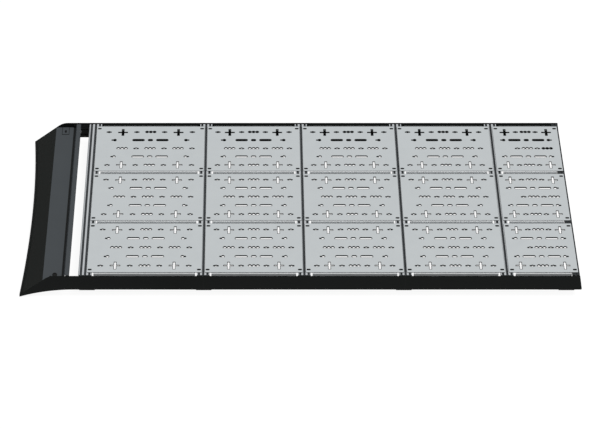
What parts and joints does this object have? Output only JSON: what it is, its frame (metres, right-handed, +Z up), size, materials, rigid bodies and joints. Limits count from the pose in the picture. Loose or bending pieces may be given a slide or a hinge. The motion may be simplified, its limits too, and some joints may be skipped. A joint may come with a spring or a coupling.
{
  "type": "vehicle roof rack",
  "caption": "Modular van roof rack: slotted deck panels on T-slot crossbars between side rails, with a folded wind fairing and bolted feet.",
  "frame": {"origin": "on the plane the foot gaskets stand on, in the middle of the rack's length and width", "axes": "+X to the rear of the vehicle, +Y to its right, +Z up"},
  "size_m": [3.9754, 1.594, 0.22],
  "materials": {
    "deck_aluminium": "matt natural anodised sheet",
    "natural_anodised": "satin natural anodised extrusion",
    "black_anodised": "black anodised extrusion",
    "black_powder_coat": "fine-texture black powder coat on aluminium",
    "fairing_black": "satin black powder coat on aluminium",
    "rubber": "black EPDM",
    "foot_steel": "black zinc-rich powder coat on steel",
    "bracket_aluminium": "mill-finish angle"
  },
  "bodies": {
    "root": {"cheek_bracket_left": "bracket_aluminium", "cheek_bracket_right": "bracket_aluminium", "crossbar_1": "natural_anodised", "crossbar_2": "natural_anodised", "crossbar_3": "natural_anodised", "crossbar_4": "natural_anodised", "crossbar_5": "natural_anodised", "crossbar_6": "black_anodised", "crossbar_brackets_left": "bracket_aluminium", "crossbar_brackets_right": "bracket_aluminium", "crossmember_bracket_left": "bracket_aluminium", "crossmember_bracket_right": "bracket_aluminium", "deck_panel_left_1": "deck_aluminium", "deck_panel_left_2": "deck_aluminium", "deck_panel_left_3": "deck_aluminium", "deck_panel_left_4": "deck_aluminium", "deck_panel_left_5": "deck_aluminium", "deck_panel_middle_1": "deck_aluminium", "deck_panel_middle_2": "deck_aluminium", "deck_panel_middle_3": "deck_aluminium", "deck_panel_middle_4": "deck_aluminium", "deck_panel_middle_5": "deck_aluminium", "deck_panel_right_1": "deck_aluminium", "deck_panel_right_2": "deck_aluminium", "deck_panel_right_3": "deck_aluminium", "deck_panel_right_4": "deck_aluminium", "deck_panel_right_5": "deck_aluminium", "fairing_crossmember": "bracket_aluminium", "fairing_edge_trim": "rubber", "fairing_skin": "fairing_black", "fairing_tab": "fairing_black", "foot_gaskets_left": "rubber", "foot_gaskets_right": "rubber", "mounting_feet_left": "foot_steel", "mounting_feet_right": "foot_steel", "side_rail_front_left": "black_powder_coat", "side_rail_front_right": "black_powder_coat", "side_rail_middle_left": "black_powder_coat", "side_rail_middle_right": "black_powder_coat", "side_rail_rear_left": "black_powder_coat", "side_rail_rear_right": "black_powder_coat", "splice_bars_left": "bracket_aluminium", "splice_bars_right": "bracket_aluminium", "wiring_grommet_large": "rubber", "wiring_grommet_small": "rubber"}
  },
  "joints": []
}
